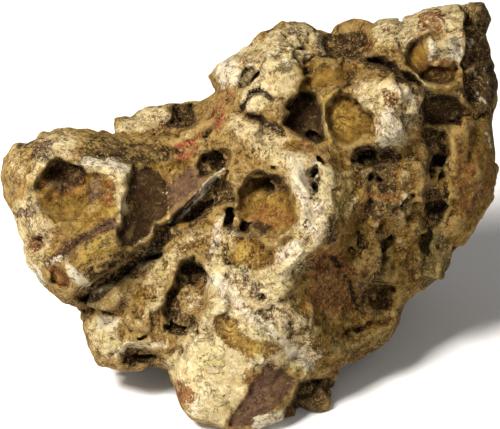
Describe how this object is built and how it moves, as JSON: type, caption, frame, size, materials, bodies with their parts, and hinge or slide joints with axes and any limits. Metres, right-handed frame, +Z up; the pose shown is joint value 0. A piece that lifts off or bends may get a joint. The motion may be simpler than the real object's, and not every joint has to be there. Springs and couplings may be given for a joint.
{
  "type": "dragon stone",
  "caption": "Weathered dragon stone for an aquarium: a free-standing lump of tan clay rock, eaten into craters, pits and sharp ridges, resting on a flat patch of its underside.",
  "frame": {"origin": "on the resting plane, under the middle of the stone's outer box", "axes": "+X to the right along the stone's longest side, +Y from the pitted face towards the back, +Z up"},
  "size_m": [0.2453, 0.1622, 0.1719],
  "materials": {
    "stone": "matt, rough and chalky clay rock: cream on the high ridges, tan and ochre on the slopes, brown to nearly black in the pits, with plum, rust and olive patches"
  },
  "bodies": {
    "root": {"stone": "stone"}
  },
  "joints": []
}
